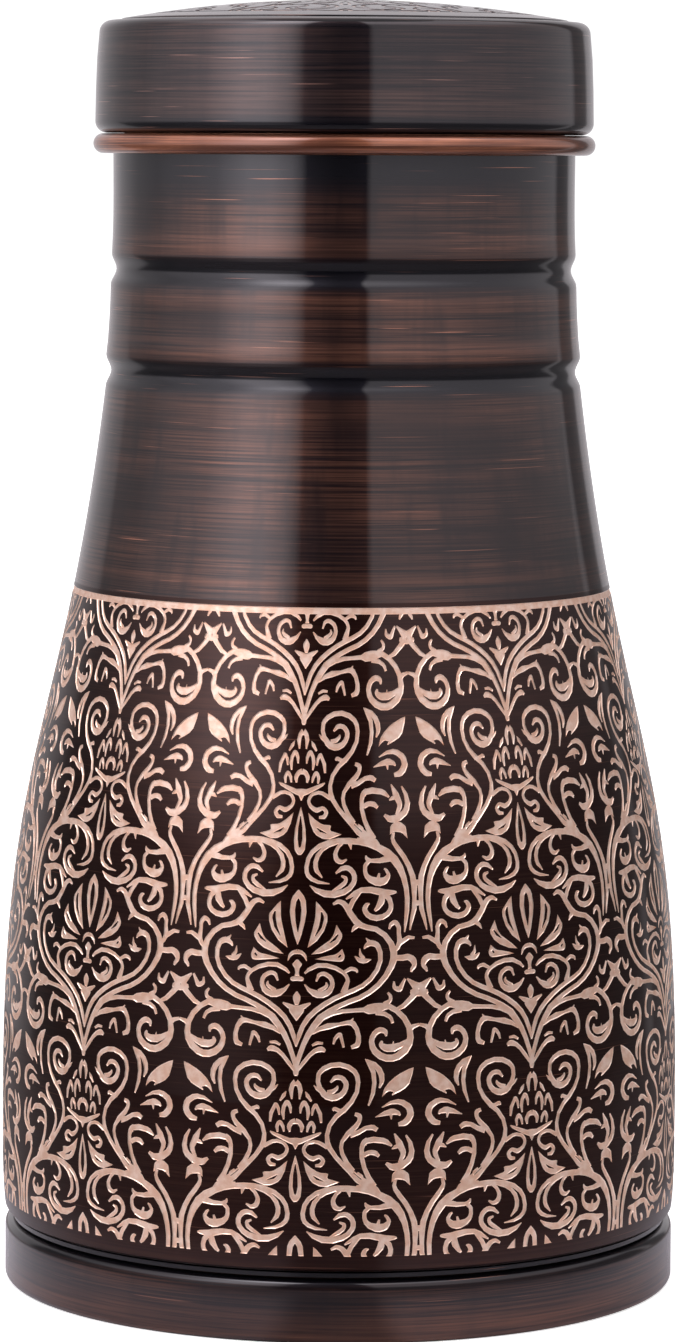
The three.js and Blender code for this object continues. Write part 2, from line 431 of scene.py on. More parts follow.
def dark_copper(name, copper_shows, smudges, scratches, copper=(0.235, 0.098, 0.062),
                patina=(0.0180, 0.0100, 0.0115), metallic=0.75, coat=1, rubbed=(), kept=()):
    """Patina with brush lines; `rubbed` lists (height, reach, strength) of worn edges and
    `kept` lists (height, reach) of grooves where the patina stays whole."""
    material, tree, surface = new_material(name)
    lines = placed(tree, brush_lines, Amount=copper_shows, Smudges=smudges,
                   Scratches=scratches)
    shows = lines["Copper shows"]
    for height, reach, strength in rubbed:
        worn = placed(tree, rubbed_edge, Height=height * MM, Reach=reach * MM,
                      Strength=strength)["Worn"]
        shows = calc(tree, "ADD", shows, worn, clamp=True)
    for height, reach in kept:
        is_open = placed(tree, kept_dark, Height=height * MM, Reach=reach * MM)["Open"]
        patina = mix(tree, is_open, KEPT_PATINA, patina)
        shows = calc(tree, "MULTIPLY", shows, is_open)
    scratched = tuple(min(1, SCRATCH_BRIGHTNESS * part) for part in copper)
    colour = mix(tree, lines["Scratch"], mix(tree, shows, patina, copper), scratched)
    feed(tree, colour, surface.inputs["Base Color"])
    feed(tree, bump(tree, lines["Lines"], LINE_HEIGHT), surface.inputs["Normal"])
    set_surface(surface, Metallic=metallic, Roughness=0.30, Specular_IOR_Level=0.1,
                Coat_Weight=coat, Coat_Roughness=0.03, Coat_IOR=1.5)
    return material


# %% Where the wear is: beside the grooves, on the shoulders, and never in a groove
UPPER_GROOVE, LOWER_GROOVE = 164.2, 147.9
neck_rubbed = ((UPPER_GROOVE + 4, 3.0, 0.42), (UPPER_GROOVE - 4.4, 2.0, 0.25),
               (LOWER_GROOVE + 4.1, 3.0, 0.42), (LOWER_GROOVE - 4.9, 3.5, 0.15),
               (117.0, 1.3, 0.2))
neck_kept = ((UPPER_GROOVE, 3.6), (LOWER_GROOVE, 3.6), (184.5, 12.0))

belly_ground = dark_copper("dark copper of the belly", 0.12, 0.3, 0.35,
                           patina=(0.0290, 0.0092, 0.0074), metallic=0.90, coat=0.50)
neck_copper = dark_copper("dark copper of the neck", 0.56, 0.6, 0.8, rubbed=neck_rubbed,
                          kept=neck_kept)
lid_copper = dark_copper("dark copper of the lid", 0.37, 0.3, 1.1,
                         copper=(0.17, 0.090, 0.072), patina=(0.0105, 0.0085, 0.0125),
                         rubbed=((191.0, 3.5, 0.15),), kept=((186.0, 3.2),))
foot_copper = dark_copper("dark copper of the foot", 0.4, 0.3, 0.5,
                          patina=(0.0150, 0.0120, 0.0160), rubbed=((1.5, 4.5, 0.45),),
                          kept=((11.0, 3.0),))
bead_copper = dark_copper("rubbed copper of the rim", 1.2, 0.2, 0.3,
                          copper=(0.60, 0.225, 0.120), patina=(0.135, 0.048, 0.030))
spun_copper = dark_copper("bare spun copper", 1.0, 0.1, 0.0, copper=(0.95, 0.50, 0.34),
                          patina=(0.72, 0.34, 0.22), metallic=1, coat=0)
print("dark coppers: belly, neck, lid, foot, rim; and bare spun copper")

# %% [markdown]
# ### Etched copper and plain finishes
# Where the acid took the patina away the copper is matt and pink, a little blotched. The
# sloping edge of each etched line was reached last, so it stayed smoother and glints; its colour,
# lighter than the floor's, is a painted highlight as well.
# The wire and the silicone ring have the same fine grain in their own colours.

# %% Etched copper, its bright edge, steel and silicone
def etched_copper(name, light, dark, roughness, grain_depth, size=800, metallic=0.5,
                  lacquer=0):
    """Two colours in blotches, with a grain in the bump; also serves plain finishes."""
    material, tree, surface = new_material(name)
    spots = placed(tree, mottling, Size=size)
    feed(tree, mix(tree, spots["Mottle"], dark, light), surface.inputs["Base Color"])
    feed(tree, bump(tree, spots["Grain"], grain_depth), surface.inputs["Normal"])
    set_surface(surface, Metallic=metallic, Roughness=roughness, Coat_Weight=lacquer,
                Coat_Roughness=0.10)
    return material


def plain_finish(name, colour, roughness, metallic, size, depth):
    shaded = tuple(0.93 * part for part in colour)
    return etched_copper(name, colour, shaded, roughness, depth, size, metallic)


etched_floor = etched_copper("etched copper", (0.98, 0.74, 0.62), (0.84, 0.54, 0.40),
                             0.42, 0.00004, metallic=0.62)
# the edge's lighter colour is a painted highlight; its lower roughness is real
etched_edge = etched_copper("edge of the etching", (1.0, 0.80, 0.68), (0.97, 0.68, 0.53),
                            0.30, 0.00001, metallic=0.75)
dome_floor = etched_copper("etched copper under lacquer", (0.60, 0.40, 0.32),
                           (0.40, 0.25, 0.20), 0.38, 0.00003, lacquer=1)
drawn_steel = plain_finish("drawn steel wire", (0.56, 0.56, 0.55), 0.35, 1, 700, 0.000005)
soft_silicone = plain_finish("white silicone", (0.82, 0.81, 0.78), 0.55, 0, 400, 0.00001)
others = (etched_floor, etched_edge, dome_floor, drawn_steel, soft_silicone)
print("other finishes:", "; ".join(material.name for material in others))

# %% [markdown]
# ## The damask ornament, drawn with a brush
# The belly carries an etched damask: scrolls, volutes, palmettes and pineapple flowers in
# upright columns. Each column mirrors about its own middle and about the line halfway to
# the next one, so only half a column is drawn, and only one repeat of its height.
# A texture image could hold it, but a real etching has an edge and a depth, so the
# strokes are drawn here as shapes and cut into the wall further down.
# A brush stroke is a list of places: (across, height, width), in millimetres. `across` is
# counted from the column's middle, on the belly, and `height` from the table. A smooth
# curve goes through the places, and the brush gets wider and narrower along it.

# %% A smooth curve through given points
def smooth(points, steps=8):
    """Catmull-Rom: a curve that passes through every point."""
    places = [points[0], *points, points[-1]]
    curve = []
    for a, b, c, d in zip(places, places[1:], places[2:], places[3:]):
        for step in range(steps):
            t = step / steps
            curve.append(tuple(
                0.5 * (2 * q + (r - p) * t + (2 * p - 5 * q + 4 * r - s) * t**2
                       + (3 * q - p - 3 * r + s) * t**3)
                for p, q, r, s in zip(a, b, c, d)))
    return [*curve, tuple(points[-1])]


def spread(curve, count):
    """The same curve as `count` even steps of its length."""
    lengths = np.cumsum([0, *(math.dist(a, b) for a, b in zip(curve, curve[1:]))])
    goals = np.linspace(0, lengths[-1], count + 1)
    return list(zip(*(np.interp(goals, lengths, values).tolist() for values in zip(*curve))))


# %% From a brush stroke to its two edges
def edges_of_stroke(points):
    """The pairs of points on a stroke's left and right edge."""
    curve = smooth(points)
    pairs = []
    for before, (across, height, width), after in zip(
            [curve[0], *curve], curve, [*curve[1:], curve[-1]]):
        step = (after[0] - before[0], after[1] - before[1])
        length = math.hypot(*step) or 1
        side = (-step[1] / length * width / 2, step[0] / length * width / 2)
        pairs.append(((across + side[0], height + side[1]),
                      (across - side[0], height - side[1])))
    return thinned(pairs)


def edges_of_leaf(one_edge, other_edge, steps=24):
    """A leaf is given by its two edges, each from the stalk to the tip."""
    return thinned(list(zip(spread(smooth(one_edge), steps), spread(smooth(other_edge), steps))))


def thinned(pairs, turn=math.radians(12), longest=1.6, shortest=0.05):
    """Keeps only the pairs that an edge's bend or length needs."""
    kept = [pairs[0]]
    for pair, after in zip(pairs[1:], pairs[2:]):
        for side in (0, 1):
            back = heading(kept[-1][side], pair[side])
            on = heading(pair[side], after[side])
            bend = abs((on - back + math.pi) % (2 * math.pi) - math.pi)
            reach = math.dist(kept[-1][side], pair[side])
            if reach > longest or (bend > turn and reach > shortest):
                kept.append(pair)
                break
    return [*kept, pairs[-1]]


def heading(a, b):
    return math.atan2(b[1] - a[1], b[0] - a[0])


# %% The ornament is kept as two lists: what is etched, and the islands left inside it
HALF_COLUMN = 19.35   # from a column's middle to the line halfway to the next, on the belly
REPEAT = 53.4         # height of one repeat
etched_strips = []
island_strips = []


def brush(*points):
    etched_strips.append(edges_of_stroke(points))


def leaf(one_edge, other_edge):
    etched_strips.append(edges_of_leaf(one_edge, other_edge))


def island(*points):
    island_strips.append(edges_of_stroke(points))


# %% [markdown]
# ### The stems that cross below each palmette
# Two pairs of lines rise from a knot like a V and swing outwards into a heart-shaped
# frame. The inner pair ends in a curled leaf inside the heart. The outer pair carries
# buds on its outside.

# %% Knot, V and heart frame
def heart_frame():
    brush((0, 44.3, .5), (0, 43.4, 1.1), (0, 42.5, .9), (0, 42, .5))
    # inner line: up from the V, round the heart, and back in to a curled leaf
    brush((0, 46.5, .2), (.35, 48, .7), (1.1, 49.9, .75), (2.2, 51.4, .8), (3.9, 52.8, .8),
          (5.9, 54, .75), (7.9, 54.9, .75), (9.9, 55.7, .7), (11.6, 57, .7), (12.9, 58.9, .7),
          (13.2, 60.7, .75), (12.7, 62.1, .85), (11.7, 62.5, .9), (10.9, 62.1, .6), (10.6, 61.6, .2))
    brush((11.9, 62.4, .7), (11.2, 62.9, .45), (10.9, 63.3, .1))
    # outer line: the main stem
    brush((0, 43.6, .8), (.7, 45.6, .75), (1.5, 47.7, .85), (2.6, 49.5, 1), (4, 51.2, 1.15),
          (5.6, 52.3, .8), (7.6, 53.3, .75), (9.8, 54.1, .75), (11.9, 55.3, .8), (13.6, 56.9, .85),
          (14.9, 58.9, 1), (15.35, 60.5, 1.15), (15, 62.2, .95), (13.9, 63.7, .85), (12.3, 64.7, .8),
          (10.6, 65, .85), (9.4, 65.7, 1), (8.5, 66.8, .95), (7.9, 67.9, 1), (7.2, 68.6, .8),
          (6.4, 68.8, .65), (5.6, 68.4, .35))
    brush((8.1, 67.5, .8), (8.6, 68.6, .75), (9.2, 69.4, .7), (9.9, 70.2, .5))
    brush((9.7, 65.4, .9), (9, 64.8, .6), (8.6, 64.2, .15))
    # leaves at the foot of the V
    brush((.15, 42.7, .4), (.9, 43.7, .6), (1.9, 45, .6), (2.9, 45.9, .7), (3.9, 46.2, .9),
          (4.55, 45.9, .45))
    brush((2.5, 46.75, .35), (3.3, 47.15, .5), (4.2, 47.1, .35))
    brush((2.5, 48.5, .2), (3.6, 49.3, .7), (5, 49.75, .95), (6.5, 50, .55), (7.8, 50.3, .65),
          (8.8, 50.2, .9), (9.5, 49.2, .7), (9.75, 47.9, .75), (9.5, 46.9, .85), (8.6, 46.5, .55))
    brush((8.4, 50.3, .6), (8.9, 51, .15))
    brush((5.8, 47, .3), (6.1, 47.9, .55), (6.8, 48.5, .6), (7.15, 47.7, .55), (7.4, 46.5, .35))


# %% Buds and leaves outside the heart, and the knot between two columns
def frame_buds():
    brush((15.3, 60.2, .8), (16.4, 60.15, .9), (17.6, 60.3, .95), (18.4, 59.8, 1.05), (18.6, 59, .75),
          (18.2, 58.4, .55), (18.05, 58, .3))
    brush((15.3, 61.2, .7), (16, 61.9, .75), (16.3, 62.8, .85), (16.15, 63.9, .65), (16.15, 64.9, .7),
          (15.6, 65.6, .75), (14.9, 65.3, .6), (14.6, 64.6, .3))
    brush((16.2, 62.4, .8), (17, 62.8, .75), (17.8, 63.3, .6), (18.7, 63.2, .4))
    brush((15.3, 56.6, .25), (15.4, 55.7, .65), (16.2, 55.4, .8), (16.6, 56.2, .5), (17.1, 57, .35))
    brush((19.35, 55.3, 2.2), (18.7, 55.9, 1.2), (17.9, 56.6, .7), (17.4, 57, .25))
    brush((19.35, 55, 1.6), (18.4, 54.9, 1.1), (17.9, 55, .5))
    brush((15.7, 52.3, .5), (16.8, 52.8, .75), (17.9, 53.8, .85), (18.8, 54.8, 1))


# %% [markdown]
# ### The palmette
# Seven petals fan out over a small vase, between two little scrolls.

# %% Petals, vase and scrolls
def palmette():
    brush((0, 62.2, .1), (0, 64, 1.4), (0, 66, 2.35), (0, 67.8, 2.75), (0, 69.4, 2), (0, 70.5, .2))
    island((0, 64.1, .1), (0, 65.6, .75), (0, 67.3, 1.05), (0, 68.6, .75), (0, 69.2, .1))
    leaf([(1.6, 61.7), (2.1, 63.6), (2.75, 66.3), (2.85, 68.8)],
         [(1.6, 61.7), (3.3, 63), (4.5, 65), (4.6, 67), (2.85, 68.8)])
    island((2.8, 63.5, .1), (3.6, 64.9, .5), (3.9, 66.3, .55), (3.75, 67.2, .2))
    leaf([(2.2, 60.7), (3.6, 61.9), (5.1, 62.9), (5.8, 64), (6.2, 65.3)],
         [(2.2, 60.7), (4.4, 61.1), (6.3, 62.2), (7.1, 63.7), (6.2, 65.3)])
    island((5.1, 62.5, .1), (5.9, 63.1, .4), (6.45, 63.8, .2))
    leaf([(2.8, 60), (4.6, 60.5), (6.1, 60.8), (7.1, 61.6)],
         [(2.8, 60), (5, 59.8), (7, 59.7), (7.5, 60.5), (7.1, 61.6)])
    island((6.5, 60.3, .25), (6.9, 60.7, .3))
    brush((0, 61.1, .7), (.7, 60.95, .6), (1.25, 60.4, .45), (1.5, 59.7, .1))
    brush((0, 59.9, .3), (0, 59.2, 1.5), (0, 58.6, .8), (0, 57.9, .55), (0, 57.4, .8))
    brush((0, 57, .7), (.7, 56.95, .7), (1.05, 56.9, .3))
    brush((1.2, 57.8, .3), (2, 58.5, .6), (3.4, 59.1, .7), (5.1, 59, .7), (6.7, 58.4, .6),
          (7.7, 57.6, .6), (8, 56.7, .65), (7.6, 55.7, .9), (7.4, 54.9, 1.1))
    brush((7.5, 58.1, .5), (8.5, 58.6, .6), (9.3, 58.4, .5), (9.5, 58, .25))
    brush((1.2, 56.1, .2), (1.9, 55.3, .6), (3, 54.7, 1.1), (4.2, 54.6, 1), (5.2, 55.2, .85),
          (5.6, 56.3, .7), (5.2, 57.3, .7), (4.2, 57.8, .65), (3.4, 57.5, .55), (3.05, 56.6, .3))
    brush((3.4, 55.1, .6), (4.2, 55.5, .6), (4.7, 56, .5), (4.6, 56.5, .2))
    brush((9.1, 60.5, .15), (9.9, 59.9, .75), (10.9, 59.8, .7), (11.7, 60, .1))
    brush((10.5, 60.1, .7), (10, 60.8, .5), (9.9, 61.7, .1))
    brush((0, 50.5, .1), (0, 51.4, 1.6), (0, 52.2, 2.4), (0, 52.8, 1.4))
    brush((0, 52.3, .9), (1.1, 52.7, .8), (2.2, 53.25, .25))
    brush((0, 52.9, .5), (0, 53.5, 1.05), (0, 54.3, 1.15), (0, 55, .2))


# %% [markdown]
# ### The volutes
# A branch leaves the V for a bud, and from the bud a large ring curls down and back.
# Above the palmette a great volute fills the column on each side, and between two
# columns a pair of stems runs up to a mushroom-shaped bud.

# %% The lower volute on its branch
def lower_volute():
    brush((4.1, 50.8, .3), (5.6, 51.7, .7), (7.4, 52.1, .65), (9.2, 52.2, .6), (10.5, 52.3, .7),
          (11.3, 52.35, 1.5), (12.3, 52.5, 1.6), (13.3, 52.7, 1.3), (14.5, 52.8, .9), (15.6, 52.2, .85),
          (16.7, 51.2, .85), (17.5, 50, .9), (17.9, 48.6, 1), (17.7, 47, 1.1), (16.7, 45.6, 1.15),
          (15.1, 44.8, 1.1), (13.5, 45, 1.1), (12.2, 46, 1), (11.75, 47.4, .85), (12.2, 48.6, .85),
          (13.1, 49.15, .9), (13.9, 48.9, .75), (14.05, 48.2, .3))
    brush((17.6, 47.6, .4), (16.6, 46.9, .8), (15.3, 46.4, 1.2), (14, 46.4, 1.1), (13.3, 46.9, .8),
          (13.4, 47.5, .3))
    brush((15.1, 46.6, .5), (15.2, 47.4, .1))
    brush((13.7, 53.1, .7), (14.6, 53.6, .6), (14.75, 54.3, .55), (14.3, 54.9, .35))
    brush((12.4, 51.9, .8), (13.7, 51.7, .7), (14.7, 51.1, .6), (15.1, 50.2, .45))
    brush((17.6, 49, 1), (18.3, 49.6, .7), (19.35, 49.9, .45))


# %% The great volute above the palmette
def great_volute():
    brush((17.1, 64.1, .2), (17.35, 66, .6), (17.6, 68, .75), (17.6, 70, .8), (17.2, 72.2, .9),
          (16.4, 74.1, 1.2), (15.1, 75.7, 1.35), (13.2, 76.9, 1.1), (10.8, 77.7, .9), (8.2, 78, .95),
          (5.6, 77.9, .85), (3.3, 77.2, .75), (1.8, 75.9, .7), (1.2, 74.2, .7), (1.5, 72.7, .7),
          (2.9, 71.8, .55), (5, 71.5, .15))
    brush((6.4, 77.7, .3), (4.3, 77, .5), (3.1, 75.9, .7), (2.65, 74.6, .75), (2.9, 73.4, .7),
          (3.8, 72.4, .2))
    brush((7, 77.7, .6), (6.3, 77, .55), (5.9, 76, .7), (6.2, 75.1, .8), (7, 74.8, .6), (7.8, 75.2, .25))
    brush((8.3, 77.7, .8), (8.5, 76.7, .15))
    brush((1.8, 71.2, .15), (3, 70.4, .8), (4.7, 69.9, 1.1), (6.5, 70, 1), (8.1, 70.7, .85),
          (9, 71.9, .8), (8.9, 73.1, .8), (8, 73.9, .8), (6.9, 73.8, .7), (6, 73.1, .3))
    brush((5.3, 70.3, .2), (6.6, 71, .65), (7.5, 71.7, .65), (7.6, 72.4, .55), (6.9, 72.7, .3))
    brush((14.9, 75.4, 1.1), (13.2, 75, .75), (11.8, 75, .6), (11.1, 75.3, .6), (10.9, 75.8, .2))
    brush((11.5, 75, .6), (10.8, 74.2, .65), (10.9, 73, .7), (11.6, 72.2, 1), (12.9, 71.8, 1.3),
          (14, 72, 1.1), (14.6, 72.8, .65), (14.3, 73.5, .5), (13.9, 73.8, .25))
    brush((12.9, 72.3, .6), (13.1, 73.1, .3))


# %% The small scroll under it, and the mushroom buds between two columns
def small_scrolls():
    brush((7.7, 69.2, .25), (8.8, 69.9, .7), (10.4, 70.6, .85), (12.4, 70.5, 1), (14, 70.1, 1.1),
          (15.3, 70.2, .7), (15.9, 70.2, .25))
    brush((14, 69.9, .9), (14.8, 69, .8), (14.9, 67.7, .75), (14.1, 66.7, .8), (12.6, 66.3, .9),
          (11.3, 66.7, .85), (10.7, 67.6, .8), (11, 68.3, .65), (11.5, 68.5, .2))
    brush((13.5, 69.9, .8), (13.4, 68.9, 1.1), (12.9, 68, .8), (12.3, 67.4, .4))
    brush((17.95, 64.4, .2), (18.35, 66.2, .6), (18.8, 67.9, .8), (18.8, 69.8, .7), (18.8, 71.4, 1),
          (18.5, 73, .9), (17.7, 74.8, .8), (16.7, 76.3, .8), (15.8, 77.4, .75), (15.4, 78.4, .6),
          (15.6, 79.3, .5))
    brush((18.6, 71.6, .8), (19.35, 71.6, .9))
    brush((18.8, 68.5, .7), (19.35, 68.5, .8))
    leaf([(15, 78.9), (15.2, 80.3), (16.4, 80.9), (17.7, 80.1), (17.95, 78.3)],
         [(15, 78.9), (15.5, 79.3), (16.3, 79.3), (17.1, 79.1), (17.95, 78.3)])


# %% [markdown]
# ### The pineapple flower and what surrounds it
# Rows of small arched petals stand on a bowl with two curls. Stems cross under it and
# carry scrolls and leaves on both sides, and loose leaves fill the space between columns.

# %% Pineapple, bowl, curls and the slit drop under them
def pineapple():
    brush((0, 41, 1.1), (.5, 40.6, .75), (.75, 39.6, .7), (.6, 38.4, .25))
    brush((1.5, 39.6, .1), (1.9, 38.9, .65), (2.45, 38.1, .3))
    brush((.75, 36.2, .25), (.85, 37.2, .55), (1.35, 37.9, .65), (1.85, 37.2, .6), (2, 36.2, .6),
          (1.85, 35.2, .25))
    brush((2.55, 35.9, .25), (2.7, 36.9, .5), (3.15, 37.5, .6), (3.6, 36.8, .6), (3.9, 35.9, .6),
          (4, 34.8, .35))
    brush((0, 35, .9), (.6, 34.8, .75), (1, 34.1, .7), (.9, 33.3, .3))
    brush((1.8, 33.3, .25), (2, 34.2, .55), (2.5, 34.8, .55), (2.9, 34.1, .55), (2.8, 33.2, .3))
    brush((0, 31.8, 1.2), (1, 31.95, .8), (2.2, 32.45, .65), (3.3, 32.9, .55), (4, 33.3, .2))
    brush((0, 31.8, 1.4), (0, 31.2, .8), (0, 30.6, .1))
    brush((5, 31, .7), (4, 31.6, .6), (2.9, 31.85, .55), (1.8, 31.5, .55), (1.3, 30.6, .55),
          (1.7, 29.7, .6), (2.7, 29.2, .75), (3.7, 29.5, .6), (4.3, 28.9, .65), (3.9, 28.2, .65),
          (3.1, 28.1, .4))
    brush((0, 29.6, .1), (0, 28.2, .9), (0, 26.5, 1.7), (0, 24.8, 2), (0, 23.2, 1.7), (0, 22.4, .5))
    island((0, 28.3, .1), (0, 27, .6), (0, 25.2, .85), (0, 23.9, .5), (0, 23.5, .1))
    leaf([(1.25, 28.8), (2.8, 27.5), (4, 27), (5.1, 26.9), (5.1, 26.1), (6.9, 25.6)],
         [(1.25, 28.8), (1.7, 27), (2.5, 25.6), (3.8, 24.9), (5.3, 24.9), (6.9, 25.6)])
    island((2.8, 26.5, .1), (3.5, 26, .35), (4.4, 25.7, .1))


# %% The crossing stem with its scroll and its two leafy branches
def crossing_stem():
    brush((13.7, 23.3, .15), (12.4, 24.5, 1), (11, 25.3, 1.4), (9.6, 26.2, 1.2), (8.5, 27.3, .9),
          (7.1, 28.6, .7), (5.9, 30, .7), (5.1, 31.4, .8), (4.9, 32.9, .65), (5.3, 34.4, .65),
          (6.3, 35.8, .7), (7.6, 36.9, .8), (8.7, 38.1, .7), (9.5, 39.6, .65), (9.7, 41.1, .7),
          (9.4, 42.4, .75), (8.5, 43.3, .8), (7.2, 43.8, .8), (5.8, 43.8, .8), (4.5, 43.3, .8),
          (3.6, 42.4, .7), (3.45, 41.2, .7), (3.8, 40.1, .8), (4.6, 39.1, 1.05), (5.8, 38.7, 1.05),
          (7, 39.1, .9), (7.7, 40, .8), (7.8, 41, .8), (7.1, 41.8, .75), (6.1, 41.8, .7),
          (5.4, 41.1, .3))
    brush((4.9, 39.6, .5), (5.8, 39.7, .7), (6.4, 40.2, .5), (6.5, 40.6, .2))
    brush((3.9, 39.8, .8), (3.3, 40.1, .5), (2.8, 40.6, .1))
    brush((7.7, 36.8, .8), (6.9, 36.7, .6), (6.1, 37, .6), (5.8, 36.7, .3))
    brush((9, 27.3, .7), (8.1, 28.4, .75), (7.4, 29.7, .65), (7.1, 31, .6), (7.4, 32.2, .6),
          (8.3, 33.3, .8), (9.3, 34.2, .8), (9.9, 35.1, .65), (9.9, 35.9, .75), (9.2, 36.2, .55))
    brush((8.5, 33, 1.1), (9.7, 33.3, .75), (10.9, 34, .7), (12, 34.1, .85), (12.7, 33.7, .7))
    brush((9.6, 27, .5), (10.3, 26.5, .5), (10.3, 26.1, .4))
    island((9, 27.1, .1), (9.6, 26.6, .3), (10.3, 26, .1))
    brush((12.3, 24.9, .9), (11.5, 26.1, .8), (10.8, 27.6, .7), (10.35, 29.2, .7), (10.3, 30.8, .7),
          (10.8, 31.9, .9), (12, 32.2, .95), (13.3, 32.1, .9), (14.2, 31.8, .8), (15, 31.2, .3))
    brush((10.7, 31.4, .7), (11, 32.5, .2))
    brush((10.6, 29.8, .8), (11.5, 30.2, .75), (12.4, 30.1, .8), (13, 29.6, .5))
    brush((12, 24.8, .7), (10.8, 24.8, .9), (9.5, 24.9, .4))


# %% Loose leaves between the columns
def loose_leaves():
    brush((10.8, 44.7, .15), (11.6, 43.7, .8), (12.15, 42.3, .7), (12.2, 40.6, .65), (11.9, 39, .6),
          (11.3, 37.5, .25))
    brush((11, 44.6, .2), (12.3, 43.8, .8), (13.2, 42.6, .9), (13.4, 41.3, .75), (13, 40.2, .25))
    leaf([(13.4, 38.8), (13.9, 40.3), (15.2, 41.7), (17, 42.8), (18.4, 43.3)],
         [(13.4, 38.8), (14.5, 39.7), (16.1, 39.5), (17.8, 40.9), (18.4, 43.3)])
    brush((15.8, 39.8, .7), (15, 39.1, .15))
    brush((13.4, 37.2, .15), (14.8, 37.9, .55), (16.3, 38, .85), (17.6, 37.2, 1), (17.9, 35.9, 1.05),
          (17.1, 34.8, 1), (16, 34.5, .6))
    brush((12.4, 35.7, .1), (13.7, 36.2, .7), (15, 36.5, 1), (15.9, 36.3, .7), (16.3, 35.9, .25))
    brush((14.8, 36.2, .6), (14.9, 35.3, .15))
    brush((17.2, 32.8, .3), (17.9, 31.6, .65), (18.15, 30.1, .9), (17.6, 28.8, 1), (16.3, 28, 1.15),
          (15, 27.9, 1), (14.1, 28.5, .45))
    brush((15.4, 33.1, .2), (15.9, 32.1, .9), (16.4, 31.1, 1.1), (16.8, 30.1, .85), (16.6, 29.2, .7),
          (16.2, 28.5, .5))
    brush((16.2, 31.2, .7), (15.5, 31, .6), (15, 30.7, .15))


# %% Drawing the whole half column
for motif in (heart_frame, frame_buds, palmette, lower_volute, great_volute, small_scrolls,
              pineapple, crossing_stem, loose_leaves):
    before = len(etched_strips)
    motif()
    print(f"{motif.__name__}: {len(etched_strips) - before} strokes")

# %% [markdown]
# ## Pieces that are spun
# Every piece of the bottle is made on a lathe, and here too: a few points up its profile
# are joined into a line, and the spin operator turns the line round the upright axis.
# Sheet copper is then given its thickness with solidify, and wire or rubber starts from a
# closed outline and needs none.

# %% Turning a profile
ROUND = 256                 # steps round a turned piece
SHEET = 0.65                # thickness of the copper
CLEARANCE = 0.3             # left where two pieces touch


def arc(centre, radius, start, end, steps):
    """Points on an arc; angles in degrees from straight outwards, in (radius, height)."""
    return [(centre[0] + radius * math.cos(a), centre[1] + radius * math.sin(a))
            for a in np.radians(np.linspace(start, end, steps + 1))]


def turned(name, profile, materials, body, thickness=0, closed=False, sharp=32):
    """Spins a profile of (radius, height) in mm into a named piece riding on a body."""
    bm = bmesh.new()
    dots = [bm.verts.new((radius * MM, 0, height * MM)) for radius, height in profile]
    pairs = list(zip(dots, dots[1:])) + ([(dots[-1], dots[0])] if closed else [])
    lines = [bm.edges.new(pair) for pair in pairs]
    bmesh.ops.spin(bm, geom=dots + lines, cent=(0, 0, 0), axis=(0, 0, 1),
                   angle=2 * math.pi, steps=ROUND, use_merge=True)
    bmesh.ops.remove_doubles(bm, verts=bm.verts, dist=1e-7)
    bmesh.ops.recalc_face_normals(bm, faces=bm.faces)
    if thickness:
        bmesh.ops.solidify(bm, geom=bm.faces, thickness=thickness * MM)
        bmesh.ops.recalc_face_normals(bm, faces=bm.faces)
    return finished(name, bm, materials, body, sharp)


def finished(name, bm, materials, body, sharp=32):
    """Makes the piece from its bmesh, smooth up to an angle, and lets it ride."""
    open_edges = sum(not edge.is_manifold for edge in bm.edges)
    volume = bm.calc_volume(signed=True) / MM**3
    mesh = to_mesh(name, bm, *materials)
    mesh.shade_smooth()
    if sharp:
        mesh.set_sharp_from_angle(angle=math.radians(sharp))
    piece = to_scene(name, mesh)
    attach(piece, body)
    mesh.calc_loop_triangles()
    low, high = np.array(piece.bound_box)[[0, 6]] / MM
    print(f"{name}: {len(mesh.loop_triangles)} triangles, {high[0] - low[0]:.1f} across, "
          f"height {low[2]:.2f} to {high[2]:.2f}, {volume:.0f} mm3, {open_edges} open edges")
    return piece


# %% [markdown]
# ### The shape of the jar's outside
# One function gives the belly's radius at any height, because both the spun neck and the
# etched belly need it. The belly is upright at its widest part, sweeps in along a smooth
# Bezier curve, and meets the neck still opening a little. At its foot it draws in by a
# third of a millimetre before it turns under.

# %% Radius and slope of the belly
BELLY_RADIUS, BELLY_TOP = 55.0, 30.0     # where it is widest, and up to which height
WAIST_RADIUS, BELT_HEIGHT = 38.4, 145.3
WAIST_SLOPE = 0.12                       # how much it still opens downwards at the waist
JAR_BOTTOM, CORNER = 11.25, 1.2
DRAWN_IN, DRAWN_UNDER = 0.36, 20.0

pull = (BELT_HEIGHT - BELLY_TOP) / 2
belly_curve = np.array([(BELLY_RADIUS, BELLY_TOP), (BELLY_RADIUS, BELLY_TOP + pull),
                        (WAIST_RADIUS + WAIST_SLOPE * pull, BELT_HEIGHT - pull),
                        (WAIST_RADIUS, BELT_HEIGHT)])
along = np.linspace(0, 1, 2001)[:, None]
bezier = sum(share * (1 - along) ** (3 - power) * along**power * point
             for power, (share, point) in enumerate(zip((1, 3, 3, 1), belly_curve)))
low_heights = np.linspace(JAR_BOTTOM + CORNER, BELLY_TOP, 200, endpoint=False)
drawn = np.clip(DRAWN_UNDER - low_heights, 0, None) / (DRAWN_UNDER - JAR_BOTTOM - CORNER)
table_heights = np.concatenate([low_heights, bezier[:, 1]])
table_radii = np.concatenate([BELLY_RADIUS - DRAWN_IN * drawn**2, bezier[:, 0]])
table_slopes = np.gradient(table_radii, table_heights)


def belly_radius(heights):
    return np.interp(heights, table_heights, table_radii)


def belly_slope(heights):
    """How much the radius grows per millimetre of height."""
    return np.interp(heights, table_heights, table_slopes)


print(f"belly radius at 20, 60, 100, 140 mm: {belly_radius([20, 60, 100, 140]).round(2)}")

